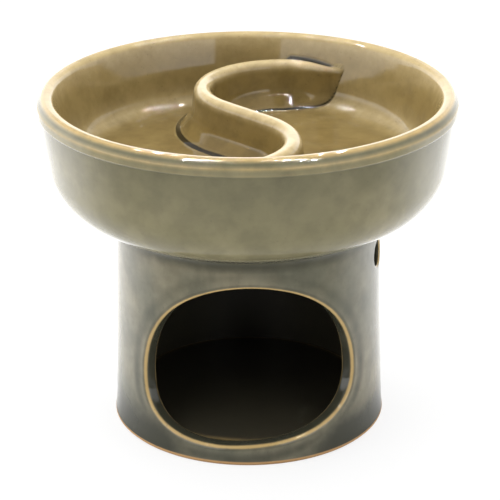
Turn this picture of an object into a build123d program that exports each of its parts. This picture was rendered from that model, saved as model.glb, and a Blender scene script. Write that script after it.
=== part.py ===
from build123d import *
import math
import os

# Essential oil burner: a divided dish on a round pedestal whose window takes a tealight.
# Millimetres, +Z up. The origin is on the table at the middle of the foot. The window faces -Y.

# Pedestal wall, a slightly tapered tube
pedestal_height = 59.0          # table to the joint with the dish
flare_height = 9.0              # where the foot's flare ends
wall_radius = 39.5              # outside, just above the flare
foot_flare = 0.7                # how far the foot stands out beyond the wall
neck_radius = 38.5              # outside, at the joint with the dish
wall_thickness = 4.4
foot_round_share = 0.2          # rounding of the foot's outer edge, share of the wall

# Chamber floor, a disc set inside the foot
foot_recess = 2.2               # clear height under the disc
chamber_floor_thickness = 3.5

# Window, an outline of two rounded halves that is cut square to the wall
sill_step = 0.5                 # sill above the chamber floor
window_head = 4.6               # wall left between the window and the joint
window_half_angle = 49.2        # degrees each side of the middle
window_widest_share = 0.37      # height of the widest point, share of the window's height
window_crown_power = 1.95       # roundness of the upper half, 2 is an ellipse
window_sill_power = 2.5         # roundness of the lower half
window_point_count = 48

# Vents, one hole drilled through both sides near the top of the wall
vent_diameter = 7.7
vent_drop = 5.8                 # centre below the joint with the dish
vent_angle = 75.0               # degrees from the window's middle towards +X

# Dish
rim_radius = 60.0               # outside of the lip
dish_depth = 20.6               # top of the lip to the dish's floor
dish_floor_thickness = 6.0      # over the candle chamber
neck_depth = 14.0               # hollow of the neck, joint to chamber ceiling
bowl_start = 3.1                # underside above the joint, at the neck
bowl_corner_rise = 11.0         # where underside and side would meet, above the joint
bowl_flare = 4.0                # lean of the side, corner to lip band
bowl_corner_round = 16.5
neck_round_share = 1.1          # fillet under the bowl, share of bowl_start
lip_width = 4.6
lip_height = 5.0                # upright band of the lip
lip_outer_share = 0.56          # rounding of the lip's outer edge, share of its width
lip_inner_share = 0.40          # rounding of the lip's inner edge, share of its width
dish_wall_lean = 5.2            # lean of the inner wall, floor to lip
dish_floor_round = 7.0          # between inner wall and floor
ceiling_round = 4.0

# Divider, an S-shaped ridge
divider_height = 14.0           # crest above the dish's floor
divider_crest_width = 4.8
divider_waist_width = 7.0
divider_waist_height = 5.0      # above the dish's floor
divider_foot_width = 14.6
divider_wall_gap = 0.5          # between the crest's back bend and the inner wall
divider_straight = 18.9         # straight run through the middle of the S
divider_angle = 64.9            # degrees from +X to the far point of the back bend
divider_end_radius = 12.0       # bend past each far point, out into the wall
divider_end_turn = 42.0         # degrees of that bend, to the rounded end
divider_shift_left = 0.5        # middle of the S from the middle of the dish
divider_shift_back = 1.7

overrun = 5.0                   # how far every cut runs past what it cuts

# Heights and radii that follow from the sizes above
foot_radius = wall_radius + foot_flare
wall_inner_radius = wall_radius - wall_thickness
neck_inner_radius = neck_radius - wall_thickness
chamber_floor_height = foot_recess + chamber_floor_thickness
window_bottom = chamber_floor_height + sill_step
window_top = pedestal_height - window_head
vent_height = pedestal_height - vent_drop
ceiling_height = pedestal_height + neck_depth
dish_floor_height = ceiling_height + dish_floor_thickness
rim_height = dish_floor_height + dish_depth
bowl_corner_height = pedestal_height + bowl_corner_rise
bowl_corner_radius = rim_radius - bowl_flare
lip_inner_radius = rim_radius - lip_width
dish_floor_radius = lip_inner_radius - dish_wall_lean


def turned(section):
    """Solid of revolution of a closed section, given as radius and height."""
    return revolve(Plane.XZ * make_face(section), axis=Axis.Z)


def window_outline(distance):
    """Outline of the window on the plane Y = -distance, seen from the axis of the wall."""
    window_height = window_top - window_bottom
    below = window_height * window_widest_share
    above = window_height - below
    points = []
    for step in range(window_point_count):
        turn = 2 * math.pi * step / window_point_count
        over_crown = math.sin(turn) > 0
        power = window_crown_power if over_crown else window_sill_power
        reach = above if over_crown else below
        across_share = math.copysign(abs(math.cos(turn)) ** (2 / power), math.cos(turn))
        upright_share = math.copysign(abs(math.sin(turn)) ** (2 / power), math.sin(turn))
        angle = math.radians(window_half_angle * across_share)
        height = window_bottom + below + reach * upright_share
        points.append((distance * math.tan(angle), -distance, height))
    return Face(Wire([Spline(*points, periodic=True)]))


def make_pedestal_wall():
    """Tapered tube with the window and the two vents cut through it."""
    foot_round = wall_thickness * foot_round_share
    section = FilletPolyline(
        (wall_inner_radius, 0),
        (foot_radius, 0),
        (wall_radius, flare_height),
        (neck_radius, pedestal_height),
        (neck_inner_radius, pedestal_height),
        (wall_inner_radius, chamber_floor_height),
        radius=[0, foot_round, 0, 0, 0, 0],
        close=True,
    )
    window = loft([window_outline(neck_inner_radius / 2), window_outline(foot_radius + overrun)], ruled=True)
    drill_length = 2 * (foot_radius + overrun)
    drill = Cylinder(vent_diameter / 2, drill_length, rotation=(90, 0, 0))
    drill = Pos(0, 0, vent_height) * Rot(0, 0, vent_angle) * drill
    return turned(section) - window - drill


def make_chamber_floor():
    """Disc that fills the foot of the tube and carries the tealight."""
    disc = Cylinder(wall_inner_radius, chamber_floor_thickness, align=(Align.CENTER, Align.CENTER, Align.MIN))
    return Pos(0, 0, foot_recess) * disc


def make_dish():
    """Bowl with its lip, its floor and the hollow neck that stands on the pedestal."""
    section = FilletPolyline(
        (neck_inner_radius, pedestal_height),
        (neck_radius, pedestal_height),
        (neck_radius, pedestal_height + bowl_start),
        (bowl_corner_radius, bowl_corner_height),
        (rim_radius, rim_height - lip_height),
        (rim_radius, rim_height),
        (lip_inner_radius, rim_height),
        (dish_floor_radius, dish_floor_height),
        (0, dish_floor_height),
        (0, ceiling_height),
        (neck_inner_radius, ceiling_height),
        radius=[
            0,
            0,
            bowl_start * neck_round_share,
            bowl_corner_round,
            0,
            lip_width * lip_outer_share,
            lip_width * lip_inner_share,
            dish_floor_round,
            0,
            0,
            ceiling_round,
        ],
        close=True,
    )
    return turned(section)


def make_dish_inside():
    """Space inside the dish, up to the rim, which the divider has to fit."""
    section = FilletPolyline(
        (0, dish_floor_height),
        (dish_floor_radius, dish_floor_height),
        (lip_inner_radius, rim_height),
        (0, rim_height),
        radius=[0, dish_floor_round, 0, 0],
        close=True,
    )
    return turned(section)


def divider_path():
    """S of two equal bends on either side of a straight run, whose ends turn out into the wall."""
    outward = Vector(1, 0, 0).rotate(Axis.Z, divider_angle)
    middle = Vector(-divider_shift_left, divider_shift_back, dish_floor_height)
    wall_at_crest = lip_inner_radius - dish_wall_lean * (dish_depth - divider_height) / dish_depth
    crest_reach = wall_at_crest - divider_wall_gap - divider_crest_width / 2 - middle.dot(outward)
    half_straight = divider_straight / 2
    spare = half_straight**2 / crest_reach
    bend_radius = (crest_reach - spare) / 2
    bend_distance = (crest_reach + spare) / 2
    sweep_angle = 90 + math.degrees(math.asin(bend_radius / bend_distance))

    end_distance = crest_reach + divider_end_radius
    end_angle = divider_angle + 180
    back_end = CenterArc(middle + outward * end_distance, divider_end_radius, end_angle, divider_end_turn)
    back_bend = CenterArc(middle + outward * bend_distance, bend_radius, divider_angle, sweep_angle)
    front_bend = CenterArc(middle - outward * bend_distance, bend_radius, end_angle, sweep_angle)
    front_end = CenterArc(middle - outward * end_distance, divider_end_radius, divider_angle, divider_end_turn)
    straight = Line(back_bend @ 1, front_bend @ 1)
    return Wire([back_end, back_bend, straight, front_bend, front_end])


def make_divider():
    """Ridge with a round crest, drafted sides, a spread foot and rounded ends, trimmed to the dish."""
    path = divider_path()
    crest = divider_crest_width / 2
    waist = divider_waist_width / 2
    foot = divider_foot_width / 2
    shoulder_height = divider_height - crest
    crown_start = Vector(0, divider_height)
    crown_end = Vector(crest, shoulder_height)
    half_section = make_face(
        [
            Polyline(
                crown_end,
                (waist, divider_waist_height),
                (foot, 0),
                (foot, -overrun),
                (0, -overrun),
                crown_start,
            ),
            TangentArc(crown_start, crown_end, tangent=(1, 0)),
        ]
    )
    start = path @ 0
    heading = path % 0
    upright = Plane(origin=start, x_dir=Vector(0, 0, 1).cross(heading), z_dir=heading)
    section = half_section + mirror(half_section, about=Plane.YZ)
    rounded_end = revolve(Plane.XZ * half_section, axis=Axis.Z)
    ridge = sweep(upright * section, path=path)
    ridge += Pos(*start) * rounded_end
    ridge += Pos(*(path @ 1)) * rounded_end
    return ridge & make_dish_inside()


pieces = {
    "pedestal_wall": make_pedestal_wall,
    "chamber_floor": make_chamber_floor,
    "dish": make_dish,
    "divider": make_divider,
}

os.makedirs("parts", exist_ok=True)
for node, make in pieces.items():
    solid = make()
    export_step(solid, f"parts/{node}.step")
    box = solid.bounding_box()
    print(node, len(solid.solids()), "solid", round(solid.volume), "mm3", box.min, box.max)
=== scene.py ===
# %% [markdown]
# # A glazed stoneware oil burner
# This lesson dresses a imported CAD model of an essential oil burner: a wide dish with an S-shaped
# divider, on a round pedestal whose window takes a tealight. The clay is turned on a wheel, so most
# of its shapes follow simple rules. The work is in soft edges, and in a glossy glaze that breaks to
# gold where it is thin and goes dark where it gathers. All sizes are in metres, in the CAD frame.

# %% Load the frame
import math

import bmesh
import bpy
import numpy as np
from mathutils import Matrix, Vector


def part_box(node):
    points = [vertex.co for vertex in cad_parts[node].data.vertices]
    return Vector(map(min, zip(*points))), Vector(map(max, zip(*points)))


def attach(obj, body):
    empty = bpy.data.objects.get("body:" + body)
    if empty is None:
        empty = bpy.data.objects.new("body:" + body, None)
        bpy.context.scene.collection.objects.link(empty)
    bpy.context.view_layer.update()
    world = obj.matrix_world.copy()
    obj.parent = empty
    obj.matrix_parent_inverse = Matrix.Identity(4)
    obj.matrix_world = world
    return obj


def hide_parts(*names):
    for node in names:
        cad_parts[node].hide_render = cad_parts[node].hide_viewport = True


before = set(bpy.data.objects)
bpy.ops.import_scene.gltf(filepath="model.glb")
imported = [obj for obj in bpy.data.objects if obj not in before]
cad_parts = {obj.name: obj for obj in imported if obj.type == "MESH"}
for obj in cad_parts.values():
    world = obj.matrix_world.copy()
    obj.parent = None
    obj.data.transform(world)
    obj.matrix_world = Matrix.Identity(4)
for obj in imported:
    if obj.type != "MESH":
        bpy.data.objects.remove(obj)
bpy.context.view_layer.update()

print("CAD nodes:", sorted(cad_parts))

# %% [markdown]
# ## Sizes that come from the frame
# The CAD boxes give the heights and radii that must not drift: the rim, the joint between dish and
# pedestal, the floors and the crest of the divider. Only what a box can't tell, such as a wall's
# thickness, is written as a size of its own.

# %% Main sizes
mm = 0.001
weld_distance = 0.001 * mm
wall_thickness = 4.4 * mm
dish_floor_thickness = 6.0 * mm
neck_radius = 38.5 * mm
lip_width = 4.6 * mm
dish_wall_lean = 5.2 * mm
dish_floor_rounding = 7.0 * mm

rim_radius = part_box("dish")[1].x
rim_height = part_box("dish")[1].z
joint_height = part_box("pedestal_wall")[1].z
foot_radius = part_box("pedestal_wall")[1].x
dish_floor_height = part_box("divider")[0].z
crest_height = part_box("divider")[1].z
chamber_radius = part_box("chamber_floor")[1].x
chamber_floor_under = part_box("chamber_floor")[0].z
chamber_floor_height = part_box("chamber_floor")[1].z

neck_inner_radius = neck_radius - wall_thickness
ceiling_height = dish_floor_height - dish_floor_thickness
dish_depth = rim_height - dish_floor_height
lip_inner_radius = rim_radius - lip_width
dish_floor_radius = lip_inner_radius - dish_wall_lean
wall_slope = dish_wall_lean / dish_depth

print("rim radius", round(rim_radius, 4), "rim height", round(rim_height, 4), "crest", round(crest_height, 4))

# %% [markdown]
# ## Profiles with rounded corners
# A potter's profile is a row of corners, each with its own rounding. The first helper walks along
# such a row and returns closely spaced points, with true arcs at the corners. The second one spreads
# values given at the corners, such as how thin the glaze is there, over the points in between.

# %% Rounded profile
def rounded_profile(corners, spacing):
    """Points along a row of (radius, height, rounding, ...) corners, straight runs joined by arcs."""
    flat = [Vector(corner[:2]) for corner in corners]
    runs = [[flat[0]]]
    for before, corner, after, rule in zip(flat, flat[1:], flat[2:], corners[1:]):
        if rule[2] == 0:
            runs.append([corner])
            continue
        back = (before - corner).normalized()
        on = (after - corner).normalized()
        half_turn = (math.pi - back.angle(on)) / 2
        reach = rule[2] * math.tan(half_turn)
        centre = corner + (back + on).normalized() * (rule[2] / math.cos(half_turn))
        first = corner + back * reach - centre
        turn = -first.angle_signed(corner + on * reach - centre)
        count = max(6, int(rule[2] * abs(turn) / spacing) + 1)
        runs.append([centre + Matrix.Rotation(turn * step / count, 2) @ first for step in range(count + 1)])
    runs.append([flat[-1]])
    points = list(runs[0])
    for run in runs[1:]:
        start = points[-1]
        gap = run[0] - start
        count = max(1, int(gap.length / spacing))
        points += [start + gap * (step / count) for step in range(1, count)]
        points += [point for point in run if (point - start).length > spacing / 20]
    return points


def spread_values(points, corners, column):
    """Values of one column of the corners, spread over the profile's points by distance along it."""
    flat = np.array(points)
    places = np.concatenate([[0], np.cumsum(np.linalg.norm(np.diff(flat, axis=0), axis=1))])
    nearest = [np.linalg.norm(flat - corner[:2], axis=1).argmin() for corner in corners]
    return np.interp(places, places[nearest], [corner[column] for corner in corners])


trial = [(0, 0, 0), (lip_width, 0, lip_width / 2), (lip_width, lip_width, 0)]
print("points round a trial corner:", len(rounded_profile(trial, mm)))

# %% [markdown]
# ## Short helpers for node trees
# Shapes, finishes and light are all made by node trees here. Nodes could be placed by hand in the
# editor, but a script can be read and run again. Four helpers keep it short: they add a node with its
# inputs set or linked, add a Math node, split a vector, and start a group with named sockets.

# %% Node helpers
def add_node(tree, kind, inputs=None, **settings):
    """New node of a tree, with its settings made and its inputs set or linked."""
    node = tree.nodes.new(kind)
    for name, value in settings.items():
        setattr(node, name, value)
    for socket, value in (inputs or {}).items():
        if isinstance(value, bpy.types.NodeSocket):
            tree.links.new(value, node.inputs[socket])
        else:
            node.inputs[socket].default_value = value
    return node


def add_math(tree, operation, *values):
    """Output socket of a Math node."""
    return add_node(tree, "ShaderNodeMath", dict(enumerate(values)), operation=operation).outputs[0]


def split_vector(tree, vector):
    """X, Y and Z sockets of a vector."""
    return add_node(tree, "ShaderNodeSeparateXYZ", {0: vector}).outputs


def new_group(name, kind, inputs, outputs):
    """Node group with its named sockets, and the values that its inputs give."""
    tree = bpy.data.node_groups.new(name, kind + "NodeTree")
    for side, sockets in (("INPUT", inputs), ("OUTPUT", outputs)):
        for socket, value in sockets.items():
            tree.interface.new_socket(socket, in_out=side, socket_type="NodeSocket" + value)
    return tree, add_node(tree, "NodeGroupInput").outputs


print("four node helpers made for Blender", bpy.app.version_string)

# %% [markdown]
# ## A node tree that turns clay on a wheel
# The dish and the chamber floor are solids of revolution. Blender has a Screw modifier for that, but
# a Geometry Nodes tree shows every step and carries values along: it makes a grid, looks up one
# profile point for each row, and wraps the row round the axis. The values it carries tell the glaze
# where it breaks (thin), where it is dark (pool: gathered glaze, and in places painted shade and
# painted dark reflections) and which side of the clay it is on (inside).

# %% Geometry Nodes: turned clay
glaze_values = ("thin", "pool_and_shade", "inside")


def make_turning_tree():
    """Tree that wraps its input profile round the Z axis."""
    inputs = {"Profile": "Geometry", "Segments": "Int", "Finish": "Material"}
    tree, given = new_group("turned_clay", "Geometry", inputs, {"Clay": "Geometry"})
    size = add_node(tree, "GeometryNodeAttributeDomainSize", {"Geometry": given["Profile"]})
    rows = size.outputs["Point Count"]
    columns = add_math(tree, "ADD", given["Segments"], 1)
    sheet = {"Size X": 1, "Size Y": 1, "Vertices X": columns, "Vertices Y": rows}
    grid = add_node(tree, "GeometryNodeMeshGrid", sheet)
    place = split_vector(tree, add_node(tree, "GeometryNodeInputPosition").outputs[0])
    turn = add_math(tree, "MULTIPLY", add_math(tree, "ADD", place["X"], 0.5), math.tau)
    row_share = add_math(tree, "ADD", place["Y"], 0.5)
    last_row = add_math(tree, "SUBTRACT", rows, 1)
    row = add_math(tree, "ROUND", add_math(tree, "MULTIPLY", row_share, last_row))

    def sampled(value, data_type):
        """Value of the profile point that belongs to this row."""
        node = add_node(tree, "GeometryNodeSampleIndex", {"Geometry": given["Profile"]}, data_type=data_type)
        sockets = {socket.name: socket for socket in node.inputs if socket.enabled}
        tree.links.new(value, sockets["Value"])
        tree.links.new(row, sockets["Index"])
        return next(socket for socket in node.outputs if socket.enabled)

    profile_place = add_node(tree, "GeometryNodeInputPosition").outputs[0]
    point = split_vector(tree, sampled(profile_place, "FLOAT_VECTOR"))
    across = add_math(tree, "MULTIPLY", point["X"], add_math(tree, "COSINE", turn))
    along = add_math(tree, "MULTIPLY", point["X"], add_math(tree, "SINE", turn))
    target = add_node(tree, "ShaderNodeCombineXYZ", {"X": across, "Y": along, "Z": point["Z"]}).outputs[0]
    clay = grid.outputs["Mesh"]
    for name in glaze_values:
        carried = add_node(tree, "GeometryNodeInputNamedAttribute", {"Name": name}, data_type="FLOAT")
        value = sampled(next(socket for socket in carried.outputs if socket.enabled), "FLOAT")
        kept = {"Geometry": clay, "Name": name}
        store = add_node(tree, "GeometryNodeStoreNamedAttribute", kept, data_type="FLOAT", domain="POINT")
        slot = next(socket for socket in store.inputs if socket.name == "Value" and socket.enabled)
        tree.links.new(value, slot)
        clay = store.outputs["Geometry"]
    clay = add_node(tree, "GeometryNodeSetPosition", {"Geometry": clay, "Position": target}).outputs[0]
    welding = {"Geometry": clay, "Distance": weld_distance}
    clay = add_node(tree, "GeometryNodeMergeByDistance", welding).outputs[0]
    clay = add_node(tree, "GeometryNodeRealizeInstances", {"Geometry": clay}).outputs[0]
    finishing = {"Geometry": clay, "Material": given["Finish"]}
    clay = add_node(tree, "GeometryNodeSetMaterial", finishing).outputs[0]
    add_node(tree, "NodeGroupOutput", {"Clay": clay})
    return tree


turning_tree = make_turning_tree()
print("turning tree:", len(turning_tree.nodes), "nodes")

# %% [markdown]
# ## From points to finished pieces
# A piece comes from the turning tree or from points worked out in the script. Either way its seams
# are welded, its faces are turned outwards and smoothed, and its open edges are counted. A tree's
# result is made a plain mesh and its modifier is removed, because the export wants plain meshes.

# %% Pieces from meshes and from the tree
def store_values(mesh, values):
    """Glaze values on the points of a mesh."""
    for name, value in zip(glaze_values, values):
        layer = mesh.attributes.new(name, "FLOAT", "POINT")
        layer.data.foreach_set("value", np.asarray(value, dtype=np.float32))


def finish_mesh(piece):
    """Closes seams, turns faces outwards and keeps only true corners sharp."""
    work = bmesh.new()
    work.from_mesh(piece.data)
    bmesh.ops.remove_doubles(work, verts=work.verts, dist=weld_distance)
    bmesh.ops.recalc_face_normals(work, faces=work.faces)
    for face in work.faces:
        face.smooth = True
    for edge in work.edges:
        edge.smooth = edge.calc_face_angle(math.pi) < math.radians(50)
    open_edges = sum(not edge.is_manifold for edge in work.edges)
    work.to_mesh(piece.data)
    work.free()
    print(piece.name, len(piece.data.polygons), "faces,", open_edges, "open edges")


def new_object(name, data):
    """Object at the origin, linked to the scene."""
    thing = bpy.data.objects.new(name, data)
    bpy.context.scene.collection.objects.link(thing)
    return thing


def new_piece(name, points, faces, values, finish):
    """Object at the origin with one mesh and one finish."""
    mesh = bpy.data.meshes.new(name)
    mesh.from_pydata(points, [], faces)
    mesh.materials.append(finish)
    store_values(mesh, values)
    piece = new_object(name, mesh)
    finish_mesh(piece)
    return piece


def run_tree(piece, tree, inputs):
    """Runs a tree on a piece with its inputs set, and keeps the result as the piece's own mesh."""
    modifier = piece.modifiers.new(tree.name, "NODES")
    modifier.node_group = tree
    for item in tree.interface.items_tree:
        if item.name in inputs:
            modifier[item.identifier] = inputs[item.name]
    ready = piece.evaluated_get(bpy.context.evaluated_depsgraph_get())
    source = piece.data
    mesh = bpy.data.meshes.new_from_object(ready)
    piece.modifiers.remove(modifier)
    piece.data = mesh
    bpy.data.meshes.remove(source)


def turn_piece(name, corners, spacing, segments, finish):
    """Piece turned by the tree from corners of (radius, height, rounding, thin, pool, inside)."""
    points = rounded_profile(corners, spacing)
    profile = bpy.data.meshes.new(name + "_profile")
    profile.from_pydata([(point.x, 0, point.y) for point in points], [], [])
    store_values(profile, [spread_values(points, corners, column) for column in (3, 4, 5)])
    piece = new_object(name, profile)
    run_tree(piece, turning_tree, {"Segments": segments, "Finish": finish})
    finish_mesh(piece)
    return piece


print("values on every mesh:", *glaze_values)

# %% [markdown]
# ## The glaze
# A stoneware glaze is a thick coat of coloured glass. Where it runs thin, on edges, the pale clay
# shows through as gold, and where it gathers it goes dark. Between the two it is never even: it has
# soft clouds, faint runs down the wall and a few dark flecks. One node group makes that colour from
# four tones and the values that the meshes carry, and every finish uses it. The same dark tone is
# also painted in as shade under the dish and in the chamber, and as dark reflections along the
# divider's foot.

# %% Glaze group
def ramp(tree, value, low, high):
    """Smooth share between two values."""
    limits = {"Value": value, "From Min": low, "From Max": high}
    return add_node(tree, "ShaderNodeMapRange", limits, interpolation_type="SMOOTHSTEP").outputs[0]


def mixed(tree, share, first, second):
    """Blend of two colours, each a socket or a tone."""
    pair = [tone if isinstance(tone, bpy.types.NodeSocket) else (*tone, 1) for tone in (first, second)]
    return add_node(tree, "ShaderNodeMix", {0: share, 6: pair[0], 7: pair[1]}, data_type="RGBA").outputs[2]


def make_glaze_group():
    """Colour and relief of a glaze that thins on edges and gathers in hollows."""
    inputs = dict.fromkeys(("Body", "Cloud", "Break", "Deep"), "Color")
    inputs.update({"Thin": "Float", "Pool_and_shade": "Float"})
    tree, given = new_group("glaze", "Shader", inputs, {"Colour": "Color", "Relief": "Float"})
    place = add_node(tree, "ShaderNodeTexCoord").outputs["Object"]

    def noise(scale, detail, stretch=(1, 1, 1)):
        """Noise at a number of waves per metre, stretched along some axes."""
        stretched = add_node(tree, "ShaderNodeMapping", {"Vector": place, "Scale": stretch}).outputs[0]
        settings = {"Vector": stretched, "Scale": scale, "Detail": detail, "Roughness": 0.6}
        return add_node(tree, "ShaderNodeTexNoise", settings).outputs[0]

    def ragged(value, scale, amount):
        """Value whose edge wanders with noise where it is not zero."""
        wander = add_math(tree, "SUBTRACT", noise(scale, 3), 0.5)
        wander = add_math(tree, "MULTIPLY_ADD", wander, amount, 1)
        return add_math(tree, "MULTIPLY", value, wander)

    def layered(colour, pattern, low, high, amount, tone):
        """Colour with a tone laid over it where a pattern is strong."""
        share = add_math(tree, "MULTIPLY", ramp(tree, pattern, low, high), amount)
        return mixed(tree, share, colour, given[tone])

    # Clouds, runs down the wall, stains and mottle
    colour = layered(given["Body"], noise(30, 4), 0.36, 0.66, 0.85, "Cloud")
    colour = layered(colour, noise(55, 3, (5, 5, 0.5)), 0.4, 0.75, 0.3, "Body")
    colour = layered(colour, noise(42, 5, (1.2, 1.2, 0.8)), 0.56, 0.74, 0.5, "Deep")
    colour = layered(colour, noise(150, 4), 0.38, 0.68, 0.25, "Deep")
    # Dark where glaze gathers, and also painted shade and painted dark reflections
    pooled_and_painted_dark = ramp(tree, ragged(given["Pool_and_shade"], 110, 0.9), 0.05, 0.95)
    colour = mixed(tree, pooled_and_painted_dark, colour, given["Deep"])
    broken = ramp(tree, ragged(given["Thin"], 260, 0.9), 0.12, 0.9)
    colour = mixed(tree, broken, colour, given["Break"])
    grain = noise(1100, 2)
    colour = layered(colour, grain, 0.64, 0.78, 0.3, "Deep")
    relief = add_math(tree, "MULTIPLY_ADD", grain, 0.006, noise(45, 2))
    add_node(tree, "NodeGroupOutput", {"Colour": colour, "Relief": relief})
    return tree


glaze_group = make_glaze_group()
print("glaze group:", len(glaze_group.nodes), "nodes")

# %% [markdown]
# ## Four finishes
# The dish is olive outside and golden inside, the pedestal is greyer, and the candle chamber is
# nearly black: partly thicker glaze and partly painted shade, as little light gets in. On the real
# burner that is one glaze, more or less thick, so each finish here is the same group with tones of
# its own: body, cloud, break and deep. The foot is left bare, or the glaze would stick to the shelf
# of the kiln.

# %% Finishes
gloss = 0.08
chamber_dullness = 0.3
bare_dullness = 0.6
relief_share = 0.06
relief_depth = 4.0 * mm
neck_soft = 6.0 * mm
bare_height = 1.5 * mm
golden = (0.47, 0.33, 0.14)
bare_clay = (0.46, 0.26, 0.10)
olive_tones = ((0.190, 0.172, 0.098), (0.255, 0.226, 0.134), golden, (0.085, 0.080, 0.052))
grey_tones = ((0.140, 0.136, 0.096), (0.260, 0.230, 0.155), golden, (0.040, 0.040, 0.027))
golden_tones = ((0.285, 0.208, 0.082), (0.232, 0.163, 0.060), (0.50, 0.39, 0.20), (0.110, 0.073, 0.022))
ridge_tones = ((0.220, 0.153, 0.052), (0.175, 0.118, 0.036), (0.52, 0.41, 0.22), (0.022, 0.017, 0.008))
# The chamber's tones are nearly black partly as painted shade, since little light gets in.
chamber_tones = ((0.040, 0.036, 0.024), (0.050, 0.044, 0.028), (0.24, 0.17, 0.07), (0.030, 0.027, 0.018))


def new_material(name):
    """Material with an empty node tree, and that tree."""
    material = bpy.data.materials.new(name)
    material.use_nodes = True
    material.node_tree.nodes.clear()
    return material, material.node_tree


def make_glaze(name, outside, inside, roughness=gloss, neck_top=0, bare_top=0, inner_dullness=0):
    """Glaze with tones for both sides, grey below the neck's top and bare clay below a height."""
    material, tree = new_material(name)
    thin, pool_and_shade, inner = [
        add_node(tree, "ShaderNodeAttribute", attribute_name=value).outputs["Fac"] for value in glaze_values
    ]
    height = split_vector(tree, add_node(tree, "ShaderNodeTexCoord").outputs["Object"])["Z"]
    tones = list(outside)
    if neck_top:
        low = ramp(tree, height, neck_top, neck_top - neck_soft)
        tones = [mixed(tree, low, tone, grey) for tone, grey in zip(tones, grey_tones)]
    if inside == outside:
        tones = [(*tone, 1) for tone in tones]
    else:
        tones = [mixed(tree, inner, tone, other) for tone, other in zip(tones, inside)]
    values = dict(enumerate((*tones, thin, pool_and_shade)))
    group = add_node(tree, "ShaderNodeGroup", values, node_tree=glaze_group)
    colour = group.outputs["Colour"]
    if inner_dullness:
        roughness = add_math(tree, "MULTIPLY_ADD", inner, inner_dullness, roughness)
    if bare_top:
        bare = ramp(tree, height, bare_top, bare_top * 0.7)
        colour = mixed(tree, bare, colour, bare_clay)
        roughness = add_math(tree, "MULTIPLY_ADD", bare, bare_dullness, roughness)
    dents = {"Height": group.outputs["Relief"], "Strength": relief_share, "Distance": relief_depth}
    surface = {"Base Color": colour, "Roughness": roughness, "IOR": 1.52}
    surface["Normal"] = add_node(tree, "ShaderNodeBump", dents).outputs[0]
    shader = add_node(tree, "ShaderNodeBsdfPrincipled", surface)
    add_node(tree, "ShaderNodeOutputMaterial", {"Surface": shader.outputs[0]})
    return material


olive_glaze = make_glaze("olive_glaze", olive_tones, golden_tones, neck_top=joint_height + neck_soft)
grey_finish = {"bare_top": bare_height, "inner_dullness": chamber_dullness}
grey_glaze = make_glaze("grey_olive_glaze", grey_tones, chamber_tones, **grey_finish)
ridge_glaze = make_glaze("golden_olive_glaze", ridge_tones, golden_tones[:3] + ridge_tones[3:])
dark_glaze = make_glaze("dark_glaze", chamber_tones, chamber_tones, roughness=gloss + chamber_dullness)
print("finishes:", olive_glaze.name, grey_glaze.name, ridge_glaze.name, dark_glaze.name)

# %% [markdown]
# ## The dish
# The bowl has a flat floor, an inner wall that leans out, and a rolled lip. The lip is a small
# collar: a step below it, an upright band, a facet and a rounded top. Each edge is one corner of the
# profile, with its share of thin and pooled glaze, and of painted shade at the neck, under the step
# and under the dish, so the turning tree makes the whole bowl at once.

# %% Dish
bowl_start = 3.1 * mm
bowl_rise = 11.0 * mm
bowl_flare = 4.0 * mm
bowl_rounding = 16.5 * mm
neck_rounding = 3.4 * mm
collar_drop = 4.4 * mm
collar_step = 0.45 * mm
facet_drop = 2.4 * mm
facet_width = 1.6 * mm
edge_rounding = 0.8 * mm
lip_inner_rounding = 2.0 * mm
lip_fall = 0.3 * mm
wall_break = 3.5 * mm
profile_spacing = 0.9 * mm
dish_segments = 288

facet_middle = (rim_radius - facet_width / 2, rim_height - (facet_drop + lip_fall) / 2)
break_end = (lip_inner_radius - wall_break * wall_slope, rim_height - wall_break - lip_fall)
wall_middle = (dish_floor_radius + dish_wall_lean / 2, dish_floor_height + dish_depth / 2)

# Each corner: radius, height, rounding, then the shares of thin, pool and inside. Pool is gathered
# glaze, and in places painted shade.
dish_corners = [
    # The dish's underside inside the chamber is painted fully dark, as shade.
    (0, ceiling_height, 0, 0, 1, 0),
    (neck_inner_radius, ceiling_height, wall_thickness, 0, 1, 0),
    (neck_inner_radius, joint_height, 0, 0, 1, 0),
    # The neck's pool is partly glaze gathered in the corner and partly painted shade under the bowl.
    (neck_radius, joint_height, 0, 0, 0.4, 0),
    (neck_radius, joint_height + bowl_start, neck_rounding, 0, 0.9, 0),
    (rim_radius - bowl_flare, joint_height + bowl_rise, bowl_rounding, 0, 0.05, 0),
    # The dark line under the collar's step is partly gathered glaze and partly painted shade.
    (rim_radius - collar_step, rim_height - collar_drop - collar_step, collar_step, 0, 0.5, 0),
    (rim_radius, rim_height - collar_drop, collar_step, 0.3, 0, 0),
    (rim_radius, rim_height - (collar_drop + facet_drop) / 2, 0, 0.15, 0, 0),
    (rim_radius - collar_step / 4, rim_height - facet_drop, edge_rounding, 0.5, 0, 0),
    (*facet_middle, 0, 0, 0.5, 0),
    (rim_radius - facet_width, rim_height - lip_fall, edge_rounding, 0.75, 0, 0),
    (rim_radius - lip_width / 2, rim_height, edge_rounding, 0.6, 0, 0.5),
    (lip_inner_radius, rim_height - lip_fall, lip_inner_rounding, 0.7, 0, 1),
    (*break_end, 0, 0.4, 0, 1),
    (*wall_middle, 0, 0, 0.1, 1),
    (dish_floor_radius, dish_floor_height, dish_floor_rounding, 0.55, 0, 1),
    (dish_floor_radius - dish_floor_rounding, dish_floor_height, 0, 0, 0.4, 1),
    (0, dish_floor_height, 0, 0, 0.5, 1),
]
dish = turn_piece("dish_body", dish_corners, profile_spacing, dish_segments, olive_glaze)

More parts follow.
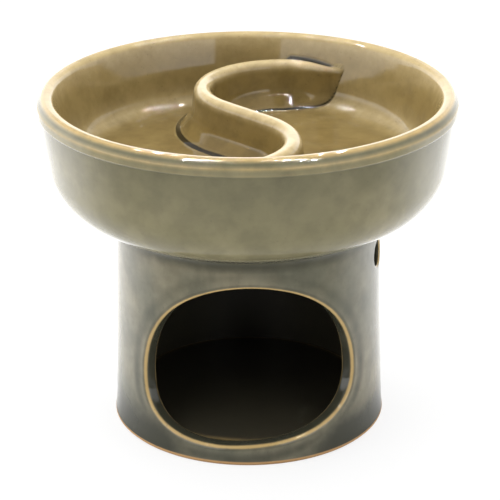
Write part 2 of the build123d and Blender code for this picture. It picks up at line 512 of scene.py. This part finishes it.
# %% [markdown]
# ## The pedestal wall
# The pedestal is a tube with a window and two vents. Cutting holes with booleans leaves ragged edges,
# and the edges are what the glaze shows off, so the wall is laid out flat instead, as a sheet of
# patches, and then wrapped round the axis. The first cell holds the wall's shape: a slight taper, a
# foot that flares, and an inside that the chamber floor fits.

# %% Shape of the wall
flare_height = 9.0 * mm
flare_radius = 39.5 * mm
sheet_low = 1.8 * mm
sheet_rows = 44
angle_step = 2
sheet_heights = np.linspace(sheet_low, joint_height, sheet_rows)


def outer_radius(height):
    """Outside of the wall at a height."""
    flare_share = np.clip(1 - height / flare_height, 0, 1) ** 2
    taper_share = np.clip((height - flare_height) / (joint_height - flare_height), 0, 1)
    flare = (foot_radius - flare_radius) * flare_share
    return flare_radius + flare + (neck_radius - flare_radius) * taper_share


def inner_radius(height):
    """Inside of the wall at a height."""
    taper_share = np.clip((height - chamber_floor_height) / (joint_height - chamber_floor_height), 0, 1)
    return chamber_radius + (neck_inner_radius - chamber_radius) * taper_share


def wrapped(angle, height, depth_share):
    """Points of the wall at angles from the window's middle, heights and a share of its thickness."""
    outside = outer_radius(height)
    radius = outside + (inner_radius(height) - outside) * depth_share
    return np.stack([radius * np.sin(angle), -radius * np.cos(angle), height], axis=-1)


print("wall outside, foot to joint:", outer_radius(np.array([0, flare_height, joint_height])).round(4))

# %% [markdown]
# ## Patches of wall
# A patch is the part of the sheet between two angles. Where it has no hole, a plain grid of rows will
# do, outside and inside. All patches share the same heights, so their borders weld without a gap.

# %% Rows and patches
class RowMesh:
    """Collects rows of points, the faces between them and their glaze values."""

    def __init__(self):
        self.points = []
        self.values = []
        self.faces = []
        self.count = 0

    def add_rows(self, rows, values, closed):
        """Adds rows of points, all of one length, with values for each row or each point."""
        rows = np.asarray(rows)
        height, width = rows.shape[:2]
        values = np.asarray(values, dtype=float).reshape(height, -1, 3)
        self.points.append(rows.reshape(-1, 3))
        self.values.append(np.broadcast_to(values, rows.shape).reshape(-1, 3))
        for row in range(height - 1):
            here = self.count + row * width
            above = here + width
            for column in range(width if closed else width - 1):
                after = (column + 1) % width
                self.faces.append((here + column, here + after, above + after, above + column))
        self.count += height * width


def plain_patch(wall, first_angle, last_angle):
    """Patch with no hole, outside and inside."""
    angles = np.radians(np.arange(first_angle, last_angle + angle_step, angle_step))
    grid_angles, grid_heights = np.meshgrid(angles, sheet_heights)
    for side in (0, 1):
        wall.add_rows(wrapped(grid_angles, grid_heights, side), [(0, 0, side)] * sheet_rows, closed=False)


def patch_border(first_angle, last_angle):
    """Angles and heights round a patch, starting along its lower edge."""
    angles = np.arange(first_angle, last_angle + angle_step, angle_step)
    border = [(angle, sheet_heights[0]) for angle in angles]
    border += [(angles[-1], height) for height in sheet_heights[1:]]
    border += [(angle, sheet_heights[-1]) for angle in angles[-2::-1]]
    border += [(angles[0], height) for height in sheet_heights[-2:0:-1]]
    return np.array(border)


print("rows of the sheet:", sheet_rows, "from", sheet_low, "to", round(joint_height, 4))

# %% [markdown]
# ## Patches with a hole
# The potter cuts the holes in soft clay and rounds their edges with a wet finger. A Bevel modifier
# could round a cut edge, but rings give more control: they run from the patch's border to the hole,
# roll over its edge, pass through the wall and run back inside, each with the glaze that belongs there.

# %% Rings round a hole
ring_shares = (0.02, 0.05, 0.09, 0.14, 0.2, 0.28, 0.37, 0.47, 0.58, 0.69, 0.8, 0.9, 1)


def holed_patch(wall, angles, hole_angle, hole_height, reach, outer_edge, inner_edge):
    """Patch with one hole whose edges are rolled, outside and inside."""
    degree = flare_radius * math.radians(1)
    border = (patch_border(*angles) - (hole_angle, hole_height)) * (degree, 1)
    direction = border / np.linalg.norm(border, axis=1)[:, None]
    outline = direction * reach(direction)[:, None]
    tangent = np.roll(outline, -1, axis=0) - np.roll(outline, 1, axis=0)
    away = np.stack([tangent[:, 1], -tangent[:, 0]], axis=1)
    away /= np.linalg.norm(away, axis=1)[:, None]
    rows = []
    values = []

    def add_ring(flat, depth, thin, pool_and_shade, inside):
        """Row of points from a ring on the flat sheet, at a depth in the wall."""
        angle = np.radians(hole_angle + flat[:, 0] / degree)
        rows.append(wrapped(angle, hole_height + flat[:, 1], depth / wall_thickness))
        values.append((thin, pool_and_shade, inside))

    outer_ring = outline + away * outer_edge
    inner_ring = outline + away * inner_edge
    flat_depth = wall_thickness - outer_edge - inner_edge
    rolls = np.radians(np.linspace(0, 90, 9))
    for share in reversed(ring_shares):
        add_ring(outer_ring + (border - outer_ring) * share, 0, 0, 0.3 * math.exp(-share * 8), 0)
    for roll in rolls:
        thin = math.exp(-(((roll - 0.78) / 0.36) ** 2))
        pool_and_shade = 0.4 + 0.5 * math.sin(roll) ** 4
        rolled = outline + away * outer_edge * (1 - math.sin(roll))
        add_ring(rolled, outer_edge * (1 - math.cos(roll)), thin, pool_and_shade, 0)
    for share in (0.25, 0.5, 0.75):
        add_ring(outline, outer_edge + flat_depth * share, 0, 0.9, share * 0.3)
    for roll in rolls:
        thin = 0.6 * math.exp(-(((roll - 0.5) / 0.3) ** 2))
        depth = wall_thickness - inner_edge * (1 - math.sin(roll))
        inside = 0.3 + 0.7 * math.sin(roll)
        add_ring(outline + away * inner_edge * (1 - math.cos(roll)), depth, thin, 0.9, inside)
    for share in ring_shares:
        add_ring(inner_ring + (border - inner_ring) * share, wall_thickness, 0, 0.5, 1)
    wall.add_rows(rows, values, closed=True)


print("rings on each side of a hole:", len(ring_shares))

# %% [markdown]
# ## Window and vents
# The window is wide enough for a tealight and the fingers that set it down. Its outline is two
# rounded halves, a little askew, as hand work is. The vents are one line drilled through both sides,
# and they let the hot air out.

# %% Outlines of the holes
window_half_angle = 49.2
window_head = 5.0 * mm
sill_step = 0.6 * mm
window_widest_share = 0.37
crown_power = 1.95
sill_power = 2.55
window_tilt = math.radians(4)
window_edge = 1.5 * mm
window_inner_edge = 1.2 * mm
vent_radius = 3.85 * mm
vent_drop = 5.8 * mm
vent_angle = 75
vent_edge = 0.8 * mm

window_low = chamber_floor_height + sill_step
window_high = joint_height - window_head
window_widest = window_low + (window_high - window_low) * window_widest_share
vent_height = joint_height - vent_drop


def window_reach(direction):
    """Distance from the window's widest level to its outline along sheet directions."""
    across = flare_radius * math.radians(window_half_angle)
    cosine = math.cos(window_tilt)
    sine = math.sin(window_tilt)
    direction = direction @ np.array([[cosine, -sine], [sine, cosine]])
    over = direction[:, 1] > 0
    upright = np.where(over, window_high - window_widest, window_widest - window_low)
    power = np.where(over, crown_power, sill_power)
    shares = np.abs(direction[:, 0] / across) ** power + np.abs(direction[:, 1] / upright) ** power
    return shares ** (-1 / power)


def vent_reach(direction):
    """Distance from the vent's centre to its edge."""
    return np.full(len(direction), vent_radius)


print("window from", round(window_low, 4), "to", round(window_high, 4), "vent at", round(vent_height, 4))

# %% [markdown]
# ## The wall put together
# Five patches go round the tube: one with the window, two with a vent and two plain ones. A foot ring
# and a flat top close it. Glaze runs while it melts, so it gathers near the foot and in a soft halo
# round the window. The dark band under the dish is partly glaze gathered there and partly painted
# shade, where the dish overhangs. These values are added once all points are known.

# %% Pedestal wall
window_patch_angle = 62
vent_patch_angle = 13
foot_rounding = 0.8 * mm
low_pool_height = 11.0 * mm
top_pool_and_shade_height = 1.6 * mm
halo_distance = 4.2 * mm
halo_width = 2.4 * mm


def close_ends(wall):
    """Foot ring below and flat top edge above, joining outside to inside."""
    angles = np.radians(np.arange(0, 360, angle_step))
    foot_corners = [
        (float(outer_radius(sheet_low)), sheet_low, 0),
        (foot_radius, foot_rounding, foot_rounding / 2),
        (foot_radius - foot_rounding, 0, foot_rounding / 2),
        (chamber_radius + foot_rounding, 0, foot_rounding / 2),
        (chamber_radius, foot_rounding, foot_rounding / 2),
        (chamber_radius, sheet_low, 0),
    ]
    rows = []
    for point in rounded_profile(foot_corners, foot_rounding / 2):
        level = np.full(len(angles), point.y)
        rows.append(np.stack([point.x * np.sin(angles), -point.x * np.cos(angles), level], axis=-1))
    wall.add_rows(rows, [(0, 0, 0)] * len(rows), closed=True)
    top = np.full(len(angles), joint_height)
    wall.add_rows([wrapped(angles, top, 0), wrapped(angles, top, 1)], [(0, 0, 0), (0, 0, 1)], closed=True)


wall = RowMesh()
window_patch = (-window_patch_angle, window_patch_angle)
vent_patch = (vent_angle - vent_patch_angle, vent_angle + vent_patch_angle)
far_patch = (vent_patch[0] + 180, vent_patch[1] + 180)
holed_patch(wall, window_patch, 0, window_widest, window_reach, window_edge, window_inner_edge)
holed_patch(wall, vent_patch, vent_angle, vent_height, vent_reach, vent_edge, vent_edge / 2)
plain_patch(wall, vent_patch[1], far_patch[0])
holed_patch(wall, far_patch, vent_angle + 180, vent_height, vent_reach, vent_edge, vent_edge / 2)
plain_patch(wall, far_patch[1], 360 - window_patch_angle)
close_ends(wall)

wall_points = np.concatenate(wall.points)
thin, pool_and_shade, inside = np.concatenate(wall.values).T
around = np.arctan2(wall_points[:, 0], -wall_points[:, 1])
corner_share = 0.3 + np.clip((np.abs(np.degrees(around)) - 20) / 25, 0, 1)
low_pool = corner_share * np.exp(-((wall_points[:, 2] / low_pool_height) ** 2))
# Painted shade under the dish's overhang, partly also glaze gathered below the joint
top_pool_and_shade = 0.4 * np.exp((wall_points[:, 2] - joint_height) / top_pool_and_shade_height)
sheet = np.column_stack([around * flare_radius, wall_points[:, 2] - window_widest])
sheet_reach = np.linalg.norm(sheet, axis=1)
direction = sheet / sheet_reach[:, None]
beyond = sheet_reach - window_reach(direction)
halo_share = 0.6 - 0.3 * np.clip(direction[:, 1], 0, 1)
halo = halo_share * np.exp(-(((beyond - halo_distance) / halo_width) ** 2))
pool_and_shade = np.maximum(pool_and_shade, np.max([low_pool, top_pool_and_shade, halo], axis=0) * (1 - inside))
pedestal = new_piece("pedestal_tube", wall_points, wall.faces, (thin, pool_and_shade, inside), grey_glaze)

# %% [markdown]
# ## The divider
# The divider is a ridge along an S that parts the dish into two pools. A curve with a bevel could
# draw it, but then its foot would cut into the dish with a hard line. So it is laid out as a strip of
# rows across the S. From the back end, which turns out into the dish's wall, the path bends round,
# runs straight through the middle and bends the other way. The front half is the back half turned by
# half a turn about the middle of the S.

# %% Divider path
crest_width = 4.8 * mm
waist_width = 7.0 * mm
waist_rise = 5.0 * mm
foot_width = 14.6 * mm
strip_border = 4.0 * mm
wall_gap = 0.5 * mm
straight_run = 18.9 * mm
end_radius = 14.0 * mm
taper_start = 2.0 * mm
taper_end = 19.0 * mm
bend_turn = math.radians(64.9)
end_turn = math.radians(39)
ridge_shift_left = 0.5 * mm
ridge_shift_back = 1.7 * mm
strip_spacing = 0.6 * mm

ridge_middle = np.array([-ridge_shift_left, ridge_shift_back])
ridge_height = crest_height - dish_floor_height
wall_at_crest = lip_inner_radius - wall_slope * (rim_height - crest_height)
outward = np.array([math.cos(bend_turn), math.sin(bend_turn)])
crest_reach = wall_at_crest - wall_gap - crest_width / 2 - ridge_middle @ outward
spare = (straight_run / 2) ** 2 / crest_reach
bend_radius = (crest_reach - spare) / 2
bend_distance = (crest_reach + spare) / 2
bend_sweep = math.pi / 2 + math.asin(bend_radius / bend_distance)


def closeness_at(run):
    """Share that is 1 near the end of the ridge and fades along it."""
    return min(1, max(0, (taper_end - run) / (taper_end - taper_start)))


def arc_rows(distance, radius, first_turn, last_turn):
    """Rows along an arc about a point at a distance outward. A negative radius bends the other way."""
    rows = []
    count = int(abs(radius * (last_turn - first_turn)) / strip_spacing)
    for turn in np.linspace(first_turn, last_turn, count, endpoint=False):
        ray = np.array([math.cos(bend_turn + turn), math.sin(bend_turn + turn)])
        heading = np.array([-ray[1], ray[0]])
        closeness = closeness_at(end_radius * end_turn + radius * turn)
        rows.append((outward * distance + radius * ray, heading, 0, closeness))
    return rows


def half_path():
    """Rows of the back half of the S: point, heading, turn of the rounded end and closeness to it."""
    rows = arc_rows(crest_reach + end_radius, -end_radius, end_turn, 0)
    rows = [(*rows[0][:2], turn, 1) for turn in np.radians(range(90, 0, -9))] + rows
    rows += arc_rows(bend_distance, bend_radius, 0, bend_sweep)
    heading = np.array([-math.sin(bend_turn + bend_sweep), math.cos(bend_turn + bend_sweep)])
    rows += [(-heading * run, heading, 0, 0) for run in np.linspace(straight_run / 2, 0, 11)]
    return rows


print("bend radius", round(bend_radius, 4), "crest reach", round(crest_reach, 4))

# %% [markdown]
# ## Where the ridge meets the dish
# Slip and glaze fill the corner between ridge and dish. Booleans can't fill a corner, so both are
# taken as heights over the plan: each point takes the higher of the two, and where they are nearly
# equal the corner is raised a little. How far it is filled also tells where the foot is painted dark:
# partly glaze gathered there, partly a painted reflection of the dark front of the box.

# %% Heights of the dish and the filled corner
def soft_max(first, second, width):
    """Higher of two heights with the corner between them filled, and how far it is filled."""
    share = np.clip(1 - np.abs(first - second) / width, 0, 1) ** 2
    return np.maximum(first, second) + share * width / 4, share


def dish_inside(radius):
    """Height of the dish's inner surface above its floor at a radius, cut off below the lip."""
    lean = math.atan(1 / wall_slope)
    reach = dish_floor_rounding * math.tan(lean / 2)
    run = np.clip(radius - dish_floor_radius + reach, 0, dish_floor_rounding)
    arc = dish_floor_rounding - np.sqrt(dish_floor_rounding**2 - run**2)
    line = (radius - dish_floor_radius) / wall_slope
    height = np.where(radius < dish_floor_radius + reach * math.cos(lean), arc, line)
    return np.minimum(height, dish_depth - strip_border)


def drawn_back(plan, limit):
    """Plan of points, of which those past a radius are drawn back to just outside it."""
    radius = np.maximum(np.linalg.norm(plan, axis=-1), weld_distance)
    kept = np.minimum(radius, limit + (radius - limit) * 0.05)
    return plan * (kept / radius)[..., None]


print("dish at the crest's reach:", round(float(dish_inside(np.array(crest_reach))), 4), "above its floor")

# %% [markdown]
# ## Rows across the ridge
# The ridge has a round crest, steep sides and a foot that spreads. Near its ends it narrows, dips and
# draws in, until it sinks into the wall. Every row is the same section, set across the path, and the
# last few rows swing round the end like the spokes of a fan.

# %% Rows
nose_share = 1.6
dip_share = 0.13
narrow_share = 0.5

crest_half = crest_width / 2
ridge_corners = [
    (0, ridge_height, 0),
    (crest_half, ridge_height, crest_half * 0.98),
    (waist_width / 2, waist_rise, waist_rise),
    (foot_width / 2 + strip_border, -waist_rise, 0),
]
half_section = rounded_profile(ridge_corners, strip_spacing / 2)
section = [(-point.x, point.y) for point in half_section[:0:-1]] + [tuple(point) for point in half_section]
offsets, rises = np.array(section).T


def strip_row(point, heading, turn, closeness):
    """Plan and raw heights of one row across the ridge, whose foot draws in near the end."""
    side = np.array([heading[1], -heading[0]])
    crest = np.minimum(np.abs(offsets), crest_half)
    drawn_share = 0.75 - 0.2 * np.sign(offsets) * math.cos(turn)
    slope = (np.abs(offsets) - crest) * (1 - drawn_share * closeness)
    spread = crest * (1 - narrow_share * closeness**2) + slope
    plan = np.sign(offsets)[:, None] * side * math.cos(turn) - heading * (nose_share * math.sin(turn))
    return point + spread[:, None] * plan, rises * (1 - dip_share * closeness**2), turn, point, closeness


half_rows = [strip_row(*row) for row in half_path()]
print("rows of half the ridge:", len(half_rows), "points in a row:", len(offsets))

# %% [markdown]
# ## The divider lifted from its plan
# Each row is lifted onto the ridge or the dish. Between the crest and the wall beside it lies a narrow
# crevice, where glaze has run in and set, so its floor is raised to just under the crest. It is painted
# dark: partly for that gathered glaze, partly as painted shade in the narrow crevice.
# The strip's borders dive just under the dish's own surface, and a flat underside inside the clay
# makes it a closed body.

# %% Divider
corner_fill = 1.8 * mm
crevice_drop = 0.9 * mm
flood_height = 1.6 * mm
crevice_near = 3.4 * mm
crevice_far = 7.0 * mm
crest_break = 4.2 * mm
blend_height = 2.0 * mm
end_blend_height = 7.0 * mm
dive = 0.3 * mm
strip_limit = lip_inner_radius + lip_width / 4


def lifted(plan, raw, turn, point, closeness):
    """Points of one row on the ridge or the dish, with their glaze values."""
    within = np.minimum(np.linalg.norm(plan, axis=1), strip_limit)
    plan = drawn_back(plan, strip_limit)
    bowl = dish_inside(within)
    gap = wall_at_crest - np.linalg.norm(point)
    nearness = np.clip((crevice_far - gap) / (crevice_far - crevice_near), 0, 1)
    crevice = nearness * (1 - math.sin(turn))
    level = crevice * (raw.max() - crevice_drop + waist_rise) - waist_rise
    groove = np.where(plan @ point > point @ point, level, -waist_rise)
    ridge, _ = soft_max(raw, groove, crevice_drop)
    bare = np.clip((bowl - ridge - corner_fill) / corner_fill, 0, 1)
    height, fill = soft_max(ridge, dish_inside(within - dive * bare), corner_fill)
    height = height - dive / 2 * np.clip((bowl - ridge) / waist_rise, 0, 1) * (fill == 0)
    thin = 0.75 * np.clip((raw - ridge_height + crest_break) / crest_break, 0, 1)
    # The raised crevice floor is painted dark: gathered glaze and painted shade.
    flooded_and_shaded = (groove > raw) * crevice * np.clip(1 - (bowl - groove) / flood_height, 0, 1)
    beyond = np.linalg.norm(plan - ridge_middle, axis=1) - np.linalg.norm(point - ridge_middle)
    outer_share = np.clip(beyond / strip_border, 0, 1)
    # Dark line along the ridge's foot: gathered glaze and a painted reflection of the dark front.
    pooled_and_painted_dark = np.clip((fill - 0.3 + 0.25 * outer_share) / 0.4, 0, 1) * (1 - 0.3 * closeness)
    pool_and_shade = np.clip(np.maximum(pooled_and_painted_dark, 0.25 * (fill > 0)) + flooded_and_shaded, 0, 1)
    merged = np.clip(1 - (ridge - bowl) / (blend_height + end_blend_height * closeness**2), 0, 1)
    points = np.column_stack([plan, dish_floor_height + height])
    return points, np.column_stack([thin, pool_and_shade, merged])


lifts = []
for plan, raw, turn, point, closeness in half_rows:
    lifts.append(lifted(ridge_middle + plan, raw, turn, ridge_middle + point, closeness))
for plan, raw, turn, point, closeness in half_rows[-2::-1]:
    lifts.append(lifted(ridge_middle - plan[::-1], raw[::-1], turn, ridge_middle - point, closeness))
strip = np.array([points for points, values in lifts])
strip_values = np.array([values for points, values in lifts])
under = strip[:, ::-1].copy()
under[:, :, :2] = drawn_back(under[:, :, :2], dish_floor_radius)
under[:, :, 2] = dish_floor_height - dish_floor_thickness / 6

ridge = RowMesh()
loop_values = np.concatenate([strip_values, strip_values[:, ::-1]], axis=1)
ridge.add_rows(np.concatenate([strip, under], axis=1), loop_values, closed=True)
divider = new_piece("divider_ridge", ridge.points[0], ridge.faces, ridge.values[0].T, ridge_glaze)

# %% [markdown]
# ## The chamber floor
# A plain disc closes the foot of the tube and carries the tealight. It is turned by the same tree,
# with a dark finish, because little light reaches it and the glaze there is thick.

# %% Chamber floor
disc_rounding = 0.8 * mm
disc_edge = 2.5 * mm
disc_segments = 144
disc_corners = [
    # The disc's underside is painted fully dark, as shade.
    (0, chamber_floor_under, 0, 0, 1, 1),
    (chamber_radius, chamber_floor_under, disc_rounding, 0, 1, 1),
    (chamber_radius, chamber_floor_height, 0, 0.6, 0, 1),
    (chamber_radius - disc_edge, chamber_floor_height, 0, 0, 0.5, 1),
    (0, chamber_floor_height, 0, 0, 0.3, 1),
]
disc = turn_piece("chamber_disc", disc_corners, profile_spacing, disc_segments, dark_glaze)

# %% [markdown]
# ## White paper
# The burner stands on a plain white sheet. A backdrop that curves up would do as well, but the camera
# sees only the sheet. To the camera the paper glows a little, so its shadow stays faint, and in
# reflections it is darker in front, where less light falls on it.

# %% Paper
paper_reach = 3.0
paper_share = 0.8
mirrored_front_share = 0.15
mirrored_back_share = 1.0
glow_share = 0.78
shade_front = -0.10
shade_back = 0.06


def blended(tree, share, first, second):
    """Blend of two values."""
    return add_node(tree, "ShaderNodeMix", {0: share, 2: first, 3: second}, data_type="FLOAT").outputs[0]


paper_mesh = bpy.data.meshes.new("paper")
paper_ends = (-paper_reach, paper_reach)
paper_corners = [(x, y, 0) for y in paper_ends for x in paper_ends]
paper_mesh.from_pydata(paper_corners, [], [(0, 1, 3, 2)])
paper = new_object("paper", paper_mesh)
paper_finish, tree = new_material("white_paper")
paper_mesh.materials.append(paper_finish)
ray = add_node(tree, "ShaderNodeLightPath").outputs
place = split_vector(tree, add_node(tree, "ShaderNodeTexCoord").outputs["Object"])
lit = ramp(tree, place["Y"], shade_front, shade_back)
mirrored = blended(tree, lit, mirrored_front_share, mirrored_back_share)
paleness = blended(tree, ray["Is Glossy Ray"], paper_share, mirrored)
diffuse = add_node(tree, "ShaderNodeBsdfDiffuse", {"Color": paleness}).outputs[0]
white = add_node(tree, "ShaderNodeEmission", {"Color": (1, 1, 1, 1), "Strength": 1}).outputs[0]
seen = add_math(tree, "MULTIPLY", ray["Is Camera Ray"], glow_share)
both = add_node(tree, "ShaderNodeMixShader", {0: seen, 1: diffuse, 2: white}).outputs[0]
add_node(tree, "ShaderNodeOutputMaterial", {"Surface": both})
print("paper reaches", paper_reach, "m")

# %% [markdown]
# ## A light box
# Round the paper stands a light box: bright walls on both sides and behind, a lit roof, and a dark
# opening in front, where the camera looks in. Area lamps would mirror in the glaze as hard squares, so
# the box is drawn in the world, by direction. The camera sees plain white, and reflections see a dimmer
# roof, because the real one is dark between its lamps.

# %% Light box
left_light = 2.0
right_light = 1.15
back_light = 2.0
front_light = 0.9
mirrored_front_light = 2.0
top_light = 1.1
mirrored_roof_share = 0.2
opening_slope = 0.38
opening_share = 0.07

world = bpy.data.worlds.new("light_box")
bpy.context.scene.world = world
world.use_nodes = True
tree = world.node_tree
tree.nodes.clear()
toward = split_vector(tree, add_node(tree, "ShaderNodeTexCoord").outputs["Generated"])
front = add_math(tree, "MULTIPLY", toward["Y"], -1)
frontness = ramp(tree, front, 0.15, 0.8)
rightness = ramp(tree, toward["X"], -0.7, 0.7)
sides = blended(tree, rightness, left_light, right_light)
backness = ramp(tree, toward["Y"], 0.5, 0.9)
sides = blended(tree, backness, sides, back_light)
ray = add_node(tree, "ShaderNodeLightPath").outputs
front_wall = blended(tree, ray["Is Glossy Ray"], front_light, mirrored_front_light)
light = blended(tree, frontness, sides, front_wall)
light = add_math(tree, "MULTIPLY_ADD", ramp(tree, toward["Z"], 0.3, 0.9), top_light, light)
roof = add_math(tree, "MULTIPLY", ramp(tree, toward["Z"], 0.3, 0.55), ray["Is Glossy Ray"])
light = add_math(tree, "MULTIPLY", light, blended(tree, roof, 1, mirrored_roof_share))
sideways = add_math(tree, "ABSOLUTE", toward["X"])
in_width = add_math(tree, "LESS_THAN", sideways, add_math(tree, "MULTIPLY", front, opening_slope))
in_front = add_math(tree, "GREATER_THAN", front, 0.3)
opening = add_math(tree, "MULTIPLY", in_width, in_front)
light = add_math(tree, "MULTIPLY", light, blended(tree, opening, 1, opening_share))
strength = blended(tree, ray["Is Camera Ray"], light, 1)
sky = add_node(tree, "ShaderNodeBackground", {"Color": (1, 1, 1, 1), "Strength": strength}).outputs[0]
add_node(tree, "ShaderNodeOutputWorld", {"Surface": sky})
print("light box:", len(tree.nodes), "nodes")

# %% [markdown]
# ## Rows of small lamps
# The box is lit by strips of small lamps in its roof. Their light is already in the walls of the box,
# but on a glossy glaze each lamp also leaves a bright dot, and the rows of dots tell the eye how wet
# the surface looks. A short node tree sets small glowing cubes on a grid, and only glossy rays see them.

# %% Geometry Nodes: lamp strips
lamp_count = 15
lamp_rows = 2
lamp_spacing = 0.028
row_reach = 0.36
lamp_size = 0.004
lamp_forward = 0.06
lamp_height = 0.40
lamp_glow = 1200

glow, tree = new_material("lamp_glow")
glow.cycles.emission_sampling = "NONE"
shine = add_node(tree, "ShaderNodeEmission", {"Color": (1, 1, 1, 1), "Strength": lamp_glow}).outputs[0]
add_node(tree, "ShaderNodeOutputMaterial", {"Surface": shine})

inputs = {"Lamps": "Int", "Spacing": "Float"}
tree, given = new_group("lamp_strips", "Geometry", inputs, {"Strips": "Geometry"})
strip_length = add_math(tree, "MULTIPLY", add_math(tree, "SUBTRACT", given["Lamps"], 1), given["Spacing"])
layout = {"Size X": strip_length, "Size Y": row_reach}
counts = {"Vertices X": given["Lamps"], "Vertices Y": lamp_rows}
places = add_node(tree, "GeometryNodeMeshGrid", {**layout, **counts}).outputs["Mesh"]
raising = {"Geometry": places, "Translation": (0, -lamp_forward, lamp_height)}
places = add_node(tree, "GeometryNodeTransform", raising).outputs[0]
cube = add_node(tree, "GeometryNodeMeshCube", {"Size": (lamp_size, lamp_size, lamp_size)}).outputs["Mesh"]
strips = add_node(tree, "GeometryNodeInstanceOnPoints", {"Points": places, "Instance": cube}).outputs[0]
strips = add_node(tree, "GeometryNodeRealizeInstances", {"Geometry": strips}).outputs[0]
strips = add_node(tree, "GeometryNodeSetMaterial", {"Geometry": strips, "Material": glow}).outputs[0]
add_node(tree, "NodeGroupOutput", {"Strips": strips})

lamps = new_object("lamp_strips", bpy.data.meshes.new("lamp_strips"))
run_tree(lamps, tree, {"Lamps": lamp_count, "Spacing": lamp_spacing})
lamps.visible_camera = False
lamps.visible_diffuse = False
lamps.visible_shadow = False
print("lamps:", lamp_count * lamp_rows, "faces:", len(lamps.data.polygons))

# %% [markdown]
# ## The camera
# The camera stands in front and looks down a little over 20 degrees, with a long lens, so the dish
# shows both its side and its inside. Its place was worked out from the photograph's outlines.

# %% Camera
camera_distance = 0.5538
camera_height = 0.2797
target_height = 0.05005
camera_roll = math.radians(-0.254)
camera_shift = 0.00326
lens_share = 4.0904

camera_data = bpy.data.cameras.new("camera")
camera = new_object("camera", camera_data)
bpy.context.scene.camera = camera
camera.location = (0, -camera_distance, camera_height)
gaze = Vector((0, camera_distance, target_height - camera_height)).to_track_quat("-Z", "Y").to_matrix()
camera.rotation_euler = (gaze @ Matrix.Rotation(camera_roll, 3, "Z")).to_euler()
camera_data.lens = camera_data.sensor_width * lens_share
camera_data.shift_x = camera_shift
bpy.context.scene.view_settings.view_transform = "Standard"
print("lens", round(camera_data.lens, 1))

# %% [markdown]
# ## Hand the pieces over
# Each piece rides on the one body of the burner and takes the place of its CAD node, which is hidden.

# %% Hand over
for piece, node, slot in (
    (dish, "dish", "olive_glaze"),
    (divider, "divider", "golden_olive_glaze"),
    (pedestal, "pedestal_wall", "grey_olive_glaze"),
    (disc, "chamber_floor", "dark_glaze"),
):
    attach(piece, "root")
    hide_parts(node)
